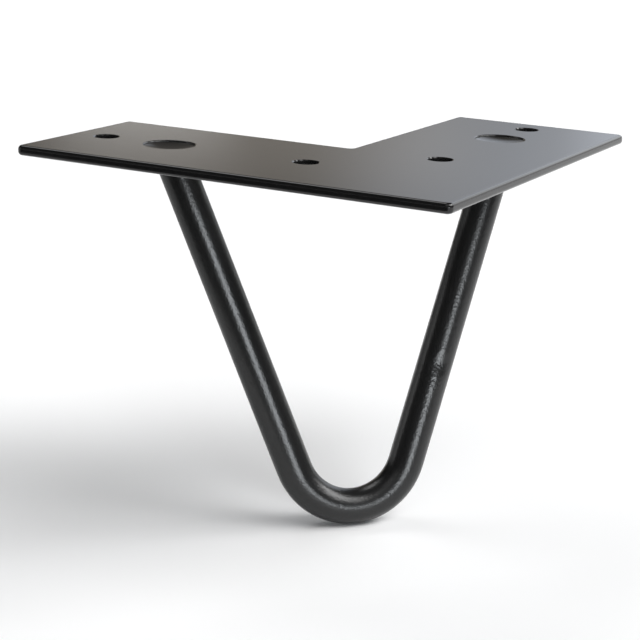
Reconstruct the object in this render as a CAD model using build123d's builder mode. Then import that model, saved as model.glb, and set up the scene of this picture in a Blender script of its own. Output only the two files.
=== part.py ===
from build123d import *
import os
from math import acos, asin, atan2, cos, hypot, radians, sqrt, tan

os.makedirs("parts", exist_ok=True)

# Hairpin table leg: one bent rod, plug-welded into an L-shaped plate that screws under a table top.
# Lengths are in millimetres, angles in degrees.
# The origin is where the centrelines of the plate's two arms cross, on the face that meets the table.
# +Z points up into the table, the left arm runs along -X and the right arm along +Y.

# Whole leg
leg_height = 100.0  # mounting face to the floor
lean_angle = 13.7  # the hairpin's plane leans out, towards the plate's outer corner

# L-shaped plate
arm_length = 121.0  # outer corner to the end of an arm
arm_width = 51.0
plate_thickness = 2.65
outer_corner_radius = 1.5
inner_corner_radius = 1.0
edge_rounding = 1.0  # of the top and bottom edges, under the coating
edge_share = 0.4  # most of the thickness that one rounded edge may take

# Screw holes, two on each arm's centreline
screw_hole_diameter = 6.5
screw_hole_spacing = 60.0
screw_hole_end_distance = 10.25  # arm end to the centre of its outer hole
screw_rim_chamfer = 0.3  # deburred, on both faces

# Bent rod
rod_diameter = 9.6
rod_end_distance = 30.0  # arm end to the centre of the rod's hole
bend_radius = 16.8  # of the rod's centreline, at the foot

# Plug welds
weld_gap = 0.85  # least filler between the slanting rod and the wall of its hole
weld_sink = 0.4  # rim of the weld below the mounting face
dish_depth = 0.9  # hollow of the weld below its own rim
weld_cover = 0.3  # filler over the end of the rod

# Places on the plate
half_width = arm_width / 2
arm_reach = arm_length - half_width
outer_screw = arm_reach - screw_hole_end_distance
inner_screw = outer_screw - screw_hole_spacing
seat_reach = arm_reach - rod_end_distance
left_seat = (-seat_reach, 0)
right_seat = (0, seat_reach)
inner_corner = (-half_width, half_width)
edge_radius = min(edge_rounding, edge_share * plate_thickness)

# The hairpin lies in a leaning plane. It starts midway between the seats, halfway through the plate.
mid_plate = plate_thickness / 2
rod_origin = (-seat_reach / 2, seat_reach / 2, -mid_plate)
lean_rise = sqrt(2) * tan(radians(lean_angle))
rod_plane = Plane(rod_origin, x_dir=(1, 1, 0), z_dir=(1, -1, lean_rise))
rod_radius = rod_diameter / 2
half_span = seat_reach / sqrt(2)
bend_bottom = (leg_height - mid_plate - rod_radius) / cos(radians(lean_angle))
bend_centre = bend_bottom - bend_radius

# Each strut is the tangent from its seat to the bend, and the two struts would cross at the apex.
strut_angle = atan2(half_span, bend_centre) - asin(bend_radius / hypot(half_span, bend_centre))
apex_depth = half_span / tan(strut_angle)
spare_length = rod_diameter  # rod above mid plate, cut off level inside the weld
spare_reach = half_span + spare_length * tan(strut_angle)
rod_end_depth = weld_sink + dish_depth + weld_cover

# The straight hole clears the slanting rod through the whole plate.
rod_tilt = acos(cos(strut_angle) * cos(radians(lean_angle)))
weld_radius = rod_radius / cos(rod_tilt) + mid_plate * tan(rod_tilt) + weld_gap
dish_radius = (weld_radius**2 + dish_depth**2) / (2 * dish_depth)

with BuildPart() as mounting_plate:
    with BuildSketch() as plate_outline:
        with Locations((half_width, -half_width)):
            Rectangle(arm_length, arm_width, align=(Align.MAX, Align.MIN))
            Rectangle(arm_width, arm_length, align=(Align.MAX, Align.MIN))
        fillet(plate_outline.vertices().sort_by_distance(inner_corner)[0], inner_corner_radius)
        # The two nearest vertices are now the ends of the inner corner's arc.
        fillet(plate_outline.vertices().sort_by_distance(inner_corner)[2:], outer_corner_radius)
    extrude(amount=-plate_thickness)
    fillet(mounting_plate.faces().filter_by(Axis.Z).edges(), edge_radius)
    with Locations((-outer_screw, 0), (-inner_screw, 0), (0, inner_screw), (0, outer_screw)):
        Hole(screw_hole_diameter / 2)
    chamfer(mounting_plate.edges(Select.LAST).filter_by(GeomType.CIRCLE), screw_rim_chamfer)
    with Locations(left_seat, right_seat):
        Hole(weld_radius)
    weld_hole_rims = mounting_plate.edges(Select.LAST).filter_by(GeomType.CIRCLE)
    fillet(weld_hole_rims.group_by(Axis.Z)[-1], weld_sink)
mounting_plate.part.label = "mounting_plate"
export_step(mounting_plate.part, "parts/mounting_plate.step")

with BuildPart() as hairpin_rod:
    with BuildLine(rod_plane) as rod_path:
        FilletPolyline(
            (-spare_reach, spare_length),
            (0, -apex_depth),
            (spare_reach, spare_length),
            radius=bend_radius,
        )
    with BuildSketch(rod_path.line ^ 0):
        Circle(rod_radius)
    sweep()
    split(bisect_by=Plane.XY.offset(-rod_end_depth), keep=Keep.BOTTOM)
hairpin_rod.part.label = "hairpin_rod"
export_step(hairpin_rod.part, "parts/hairpin_rod.step")

for side, seat in (("left", left_seat), ("right", right_seat)):
    with BuildPart() as plug_weld:
        with BuildSketch(Plane.XY.offset(-plate_thickness)):
            with Locations(seat):
                Circle(weld_radius)
        extrude(amount=plate_thickness - weld_sink)
        with Locations((*seat, dish_radius - weld_sink - dish_depth)):
            Sphere(dish_radius, mode=Mode.SUBTRACT)
        add(hairpin_rod.part, mode=Mode.SUBTRACT)
    plug_weld.part.label = f"{side}_plug_weld"
    export_step(plug_weld.part, f"parts/{side}_plug_weld.step")
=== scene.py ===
# %% [markdown]
# A hairpin leg is one steel rod, bent like a hairpin and welded into a flat corner plate, then powder
# coated black all over. Its steel parts could be modelled again here, but they are already measured. So
# this lesson loads them as a fixed frame, dresses them in the coating and sets up a small photo studio
# round them. Nothing is moved.

# %% Load the frame
import math

import bmesh
import bpy
from mathutils import Matrix, Vector


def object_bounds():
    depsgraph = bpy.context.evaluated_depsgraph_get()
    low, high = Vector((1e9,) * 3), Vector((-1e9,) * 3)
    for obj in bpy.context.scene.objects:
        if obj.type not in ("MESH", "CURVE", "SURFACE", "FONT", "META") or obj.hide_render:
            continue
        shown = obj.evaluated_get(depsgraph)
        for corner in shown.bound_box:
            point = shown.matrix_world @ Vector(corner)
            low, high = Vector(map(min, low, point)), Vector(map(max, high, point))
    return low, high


MM = 0.001

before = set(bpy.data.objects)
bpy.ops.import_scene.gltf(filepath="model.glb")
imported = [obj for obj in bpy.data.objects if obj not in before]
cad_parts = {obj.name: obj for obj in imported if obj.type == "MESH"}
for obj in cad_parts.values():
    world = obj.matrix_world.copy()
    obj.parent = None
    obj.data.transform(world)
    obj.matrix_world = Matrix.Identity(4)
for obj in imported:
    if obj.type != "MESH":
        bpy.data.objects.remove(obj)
cad_low, cad_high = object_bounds()
print("parts:", sorted(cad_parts), "size in mm:", [round(x / MM, 1) for x in cad_high - cad_low])

# %% [markdown]
# Three helpers come first. Blender shades in linear light, but colours are easiest to read as the hex
# values that a paint program shows, so one function turns hex into linear. Shader nodes could be joined
# by hand in the editor, but here two functions start a material and add a node to it in one line.

# %% Helpers
def linear(hex_colour):
    """Linear RGBA of an sRGB hex colour such as "1a1a1a"."""
    channels = [int(hex_colour[i : i + 2], 16) / 255 for i in (0, 2, 4)]
    return [c / 12.92 if c <= 0.04045 else ((c + 0.055) / 1.055) ** 2.4 for c in channels] + [1.0]


def new_material(name):
    """Empty node material; returns it and its node tree."""
    material = bpy.data.materials.new(name)
    material.use_nodes = True
    material.node_tree.nodes.clear()
    return material, material.node_tree


def add_node(tree, kind, settings=None, links=None):
    """Adds a node, sets its options and sockets, and links sockets. A number stands for a socket's place."""
    node = tree.nodes.new(kind)
    for name, value in (settings or {}).items():
        if hasattr(node, str(name)):
            setattr(node, name, value)
        else:
            node.inputs[name].default_value = value
    for name, socket in (links or {}).items():
        tree.links.new(socket, node.inputs[name])
    return node


print("the middle grey 808080 is", round(linear("808080")[0], 3), "in linear light")

# %% [markdown]
# Powder coating is dry resin powder, baked until it flows. It sets with a fine orange-peel skin, so a
# highlight on it breaks up into grain. The skin copies what lies under it: it is smooth on rolled sheet
# and coarser on drawn rod. Real displacement would need millions of faces, so one function makes both
# finishes with two noise patterns as bump.

# %% Powder coat
COAT_COLOUR = "171717"
RESIN_IOR = 1.5
PEEL_MM = 1.1
# The real grain is finer, too fine to show at this picture's size, so it is drawn coarser.
GRAIN_MM = 0.6


def powder_coat(name, roughness, peel_height, grain_height):
    """Satin black coat; the heights are those of the orange peel and of its grain, in millimetres."""
    coat, tree = new_material(name)
    place = add_node(tree, "ShaderNodeTexCoord").outputs["Object"]
    normal = {}
    for size, height in ((PEEL_MM, peel_height), (GRAIN_MM, grain_height)):
        noise = add_node(
            tree, "ShaderNodeTexNoise", {"Scale": 1 / (size * MM), "Detail": 1.0}, {"Vector": place}
        )
        bump = add_node(
            tree,
            "ShaderNodeBump",
            {"Strength": 1.0, "Distance": height * MM},
            {"Height": noise.outputs["Fac"], **normal},
        )
        normal = {"Normal": bump.outputs["Normal"]}
    skin = add_node(
        tree,
        "ShaderNodeBsdfPrincipled",
        {"Base Color": linear(COAT_COLOUR), "Roughness": roughness, "IOR": RESIN_IOR},
        normal,
    )
    add_node(tree, "ShaderNodeOutputMaterial", None, {"Surface": skin.outputs["BSDF"]})
    return coat


# On flat sheet the coat levels out: black from above, a soft dark mirror at a low angle.
sheet_coat = powder_coat("satin_powder_coat_on_sheet", roughness=0.13, peel_height=0.004, grain_height=0.002)
# On drawn rod it keeps the tooth of the steel: a wide satin streak with a ragged, grainy edge.
rod_coat = powder_coat("satin_powder_coat_on_rod", roughness=0.28, peel_height=0.03, grain_height=0.052)
for name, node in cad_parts.items():
    node.data.materials.clear()
    node.data.materials.append(rod_coat if name == "hairpin_rod" else sheet_coat)
    print("coated", name, "with", node.data.materials[0].name)

# %% [markdown]
# Half way down the right strut the coat is bruised, as if a bending jaw had slipped on it. A shallow flat
# widens the long streak of light there and breaks it, and a coarse scuff frays its edge. Sculpting the
# rod would change a measured part, so both are bump on its coat: the flat is a hollow that deepens
# towards its middle, and the scuff fades out with the distance from its own.

# %% Bruise on the right strut
FLAT_MIDDLE = Vector((-1.9, 37.0, -58.0)) * MM
FLAT_RADIUS = 4 * MM
FLAT_DEPTH = 0.3 * MM
SCUFF_MIDDLE = Vector((-3.2, 35.2, -61.5)) * MM
SCUFF_RADIUS = 7 * MM
SCUFF_CORE = 2.3 * MM
SCUFF_MM = 0.7
SCUFF_HEIGHT = 0.1 * MM

tree = rod_coat.node_tree
skin = tree.nodes["Principled BSDF"]
place = add_node(tree, "ShaderNodeTexCoord").outputs["Object"]


def ramp(tree, place, middle, start, stop):
    """Socket that goes from 0 to 1 between two distances from a spot on the rod."""
    away = add_node(tree, "ShaderNodeVectorMath", {"operation": "DISTANCE", 1: middle}, {0: place})
    slope = add_node(
        tree,
        "ShaderNodeMapRange",
        {"interpolation_type": "SMOOTHSTEP", "From Min": start, "From Max": stop},
        {"Value": away.outputs["Value"]},
    )
    return slope.outputs["Result"]


flat = add_node(
    tree,
    "ShaderNodeBump",
    {"Strength": 1.0, "Distance": FLAT_DEPTH},
    {
        "Height": ramp(tree, place, FLAT_MIDDLE, 0, FLAT_RADIUS),
        "Normal": skin.inputs["Normal"].links[0].from_socket,
    },
)
grit = add_node(
    tree, "ShaderNodeTexNoise", {"Scale": 1 / (SCUFF_MM * MM), "Detail": 1.0}, {"Vector": place}
)
scuff = add_node(
    tree,
    "ShaderNodeMath",
    {"operation": "MULTIPLY"},
    {0: ramp(tree, place, SCUFF_MIDDLE, SCUFF_RADIUS, SCUFF_CORE), 1: grit.outputs["Fac"]},
)
fray = add_node(
    tree,
    "ShaderNodeBump",
    {"Strength": 1.0, "Distance": SCUFF_HEIGHT},
    {"Height": scuff.outputs["Value"], "Normal": flat.outputs["Normal"]},
)
tree.links.new(fray.outputs["Normal"], skin.inputs["Normal"])
print("bruise: radius of the flat and of the scuff in mm", FLAT_RADIUS / MM, SCUFF_RADIUS / MM)

# %% [markdown]
# The leg stands on a sheet of matt white paper. A curved backdrop would do as well, but a flat disc that
# reaches far past the picture is simpler, and from this height it is the background too. It catches the
# leg's soft shadow.

# %% Floor
FLOOR_RADIUS = 6000 * MM
FLOOR_SEGMENTS = 96

floor_mesh = bpy.data.meshes.new("studio_floor")
shape = bmesh.new()
bmesh.ops.create_circle(shape, cap_ends=True, segments=FLOOR_SEGMENTS, radius=FLOOR_RADIUS)
bmesh.ops.translate(shape, verts=shape.verts, vec=(0, 0, cad_low.z))
shape.to_mesh(floor_mesh)
shape.free()
floor = bpy.data.objects.new("studio_floor", floor_mesh)
bpy.context.scene.collection.objects.link(floor)

# Uncoated paper scatters light evenly, so it is white without a gloss.
paper, tree = new_material("matt_white_paper")
matt = add_node(tree, "ShaderNodeBsdfDiffuse", {"Color": linear("fbfbfb")})
add_node(tree, "ShaderNodeOutputMaterial", None, {"Surface": matt.outputs["BSDF"]})
floor_mesh.materials.append(paper)
print("floor at z =", round(cad_low.z / MM, 1), "mm")

# %% [markdown]
# A photographer lays dark cards in front of a glossy thing, so that its front edges stay dark. These two
# are fans of card on the floor: black in front, grey on the left. A fan is one edge, spun round the leg,
# because a square card would show its corners in the rod. Only reflections see them, so they never show
# in the picture or cast a shadow.

# %% Floor cards
CARD_NEAR = 170 * MM
CARD_FAR = 3000 * MM
CARD_LIFT = 0.2 * MM
CARD_STEPS = 24
BLACK_CARD_SPAN = (222, 300)
GREY_CARD_SPAN = (150, 222)


def place_card(name, shape, colour):
    """Makes a shape a card of felt that only reflections see."""
    mesh = bpy.data.meshes.new(name)
    shape.to_mesh(mesh)
    shape.free()
    card = bpy.data.objects.new(name, mesh)
    bpy.context.scene.collection.objects.link(card)
    card.visible_camera = False
    card.visible_diffuse = False
    card.visible_shadow = False
    # Pressed wool felt has no gloss at all, so the card mirrors as one even tone.
    felt, tree = new_material(name + "_felt")
    dull = add_node(tree, "ShaderNodeBsdfDiffuse", {"Color": linear(colour)})
    add_node(tree, "ShaderNodeOutputMaterial", None, {"Surface": dull.outputs["BSDF"]})
    mesh.materials.append(felt)
    return card


def fan(start, stop):
    """Flat fan on the floor round the leg, from one azimuth to another in degrees."""
    shape = bmesh.new()
    ends = [shape.verts.new((r, 0, cad_low.z + CARD_LIFT)) for r in (CARD_NEAR, CARD_FAR)]
    edge = shape.edges.new(ends)
    turn = Matrix.Rotation(math.radians(start), 3, "Z")
    bmesh.ops.rotate(shape, verts=ends, cent=(0, 0, 0), matrix=turn)
    bmesh.ops.spin(
        shape,
        geom=ends + [edge],
        cent=(0, 0, 0),
        axis=(0, 0, 1),
        angle=math.radians(stop - start),
        steps=CARD_STEPS,
    )
    bmesh.ops.recalc_face_normals(shape, faces=shape.faces)
    return shape


black_card = place_card("black_card", fan(*BLACK_CARD_SPAN), "141414")
grey_card = place_card("grey_card", fan(*GREY_CARD_SPAN), "c8c8c8")
print("floor cards:", [(card.name, len(card.data.polygons)) for card in (black_card, grey_card)])

# %% [markdown]
# A flag is a card on a stand that keeps a lamp off one part of the scene. Seen from behind at a low angle,
# the flat plate would mirror the whole key light and turn white. A weaker key would dull the rod, so a
# grey flag stands just past the plate's outer corner instead. Its lower edge is just above the plate, so
# the rod below keeps its streak, and it leans out, closer to edge-on for the ceiling lights, so that it
# hardly shades the floor.

# %% Flag
FLAG_AZIMUTH = math.radians(319)
FLAG_DISTANCE = 60 * MM
FLAG_WIDTH = 250 * MM
FLAG_LOW = 2.5 * MM
FLAG_HIGH = 30 * MM
FLAG_LEAN = math.radians(20)
QUARTER_TURN = math.pi / 2

shape = bmesh.new()
# A square of one metre, scaled to the flag, stood up and turned to its place
bmesh.ops.create_grid(shape, x_segments=1, y_segments=1, size=0.5)
flag_length = (FLAG_HIGH - FLAG_LOW) / math.cos(FLAG_LEAN)
bmesh.ops.scale(shape, verts=shape.verts, vec=(FLAG_WIDTH, flag_length, 1))
upright = Matrix.Rotation(QUARTER_TURN + FLAG_LEAN, 3, "X")
bmesh.ops.rotate(shape, verts=shape.verts, cent=(0, 0, 0), matrix=upright)
bmesh.ops.translate(shape, verts=shape.verts, vec=(0, -FLAG_DISTANCE, (FLAG_LOW + FLAG_HIGH) / 2))
turn = Matrix.Rotation(FLAG_AZIMUTH + QUARTER_TURN, 3, "Z")
bmesh.ops.rotate(shape, verts=shape.verts, cent=(0, 0, 0), matrix=turn)
flag = place_card("grey_flag", shape, "909090")
flag.visible_shadow = True
print("flag:", [round(x / MM) for x in flag.dimensions], "mm")

# %% [markdown]
# A black glossy thing shows what stands round it more than its own colour. So the light is a dark room
# with soft panels. Area lamps could make it, but here the panels are painted on the world by direction:
# each one is bright within its core angle and fades out at its edge angle. A low key in front draws the
# long streak down the rod, two top softboxes light the bend, and the panels behind show in the flat
# plate, which mirrors them at a low angle.

# %% Studio light
WALL_LIGHT = 0.01
PANELS = (
    # azimuth from +X and elevation of the middle, angles of the core and of the faded edge, how many
    # times wider than high, colour, radiance
    ("key_softbox", 319, 4, 8, 17, 1, "f6fbff", 11.8),
    ("top_left_softbox", 45, 38, 4, 16, 1, "ffffff", 8.0),
    ("top_right_softbox", 18, 42, 4, 16, 1, "ffffff", 5.0),
    ("right_ceiling", 0, 52, 10, 24, 1, "ffffff", 5.2),
    ("left_ceiling", 150, 57, 8, 17, 1, "ffffff", 2.6),
    ("front_ceiling", 290, 58, 12, 28, 1, "ffffff", 0.8),
    ("window", 83, 24, 9, 17, 1, "f6faff", 1.6),
    ("right_upper_wall", 104, 18, 3, 14, 1, "eaf2ff", 0.62),
    ("right_wall", 98, 16, 16.5, 21, 1, "eaf2ff", 0.34),
    ("right_window", 104, 9, 3, 6, 1, "eaf2ff", 0.4),
    ("back_wall", 118, 20, 14, 24, 1, "fff6ea", 0.14),
    ("back_strip", 120.5, 9.6, 6, 9.5, 4, "fff6ea", 0.32),
    ("back_card", 123.5, 8.2, 2, 4, 3, "ffffff", 0.8),
    ("back_left_card", 140, 6, 4, 12, 1, "fff6e6", 0.8),
    ("right_back_wall", 64, 12, 8, 18, 1, "ffffff", 1.1),
    ("left_reflector", 185, 4, 8, 18, 1, "ffffff", 0.55),
    ("left_card", 208, 14, 6, 16, 1, "ffffff", 1.4),
    ("left_side_fill", 232, 10, 4, 17, 1, "ffffff", 0.16),
    ("right_side_fill", 40, 14, 4, 17, 1, "ffffff", 0.2),
)


def direction(azimuth, elevation):
    """Unit vector from the leg towards a place in the studio, from degrees."""
    a, e = math.radians(azimuth), math.radians(elevation)
    return Vector((math.cos(a) * math.cos(e), math.sin(a) * math.cos(e), math.sin(e)))


def chord(angle):
    """Squared distance between the tips of two unit vectors that are so many degrees apart."""
    return 2 - 2 * math.cos(math.radians(angle))


world = bpy.data.worlds.new("studio_walls")
bpy.context.scene.world = world
world.use_nodes = True
tree = world.node_tree
tree.nodes.clear()
outlook = add_node(tree, "ShaderNodeTexCoord")
light = add_node(tree, "ShaderNodeCombineXYZ", {axis: WALL_LIGHT for axis in "XYZ"}).outputs["Vector"]
for name, azimuth, elevation, core, edge, flatness, colour, radiance in PANELS:
    squash = Vector((1, 1, flatness))
    offset = add_node(
        tree,
        "ShaderNodeMapping",
        {"Scale": squash, "Location": -direction(azimuth, elevation) * squash},
        {"Vector": outlook.outputs["Generated"]},
    )
    away = add_node(
        tree,
        "ShaderNodeVectorMath",
        {"operation": "DOT_PRODUCT"},
        {0: offset.outputs["Vector"], 1: offset.outputs["Vector"]},
    )
    glow = add_node(
        tree,
        "ShaderNodeMapRange",
        {"interpolation_type": "SMOOTHSTEP", "From Min": chord(edge), "From Max": chord(core)},
        {"Value": away.outputs["Value"]},
    )
    panel = add_node(
        tree,
        "ShaderNodeVectorMath",
        {"operation": "MULTIPLY_ADD", "label": name, 0: Vector(linear(colour)[:3]) * radiance},
        {1: glow.outputs["Result"], 2: light},
    )
    light = panel.outputs["Vector"]
walls = add_node(tree, "ShaderNodeBackground", {"Strength": 1.0}, {"Color": light})
add_node(tree, "ShaderNodeOutputWorld", None, {"Surface": walls.outputs["Background"]})
print("studio panels:", [row[0] for row in PANELS])

# %% [markdown]
# The camera stands in front of the plate's outer corner, a little above it, and looks slightly down at
# the leg. A wide lens close by would splay the struts, so a long one is used from further off. The roll
# turns the picture by the two degrees that the leg leans in it.

# %% Camera
CAMERA_TARGET = Vector((-1.8, -34.6, -29.2)) * MM
CAMERA_DISTANCE = 400 * MM
CAMERA_AZIMUTH = -62.58
CAMERA_ELEVATION = 15.44
CAMERA_ROLL = math.radians(2.03)
LENS_MM = 97.6
SENSOR_MM = 36.0
CLIP_START = 10 * MM

back = direction(CAMERA_AZIMUTH, CAMERA_ELEVATION)
camera = bpy.data.objects.new("camera", bpy.data.cameras.new("camera"))
camera.data.lens = LENS_MM
camera.data.sensor_width = SENSOR_MM
camera.data.clip_start = CLIP_START
turn = (-back).to_track_quat("-Z", "Y").to_matrix() @ Matrix.Rotation(CAMERA_ROLL, 3, "Z")
camera.matrix_world = Matrix.Translation(CAMERA_TARGET + back * CAMERA_DISTANCE) @ turn.to_4x4()
bpy.context.scene.collection.objects.link(camera)
bpy.context.scene.camera = camera
bpy.context.scene.view_settings.view_transform = "Standard"
print("camera at", [round(x / MM, 1) for x in camera.location], "mm")
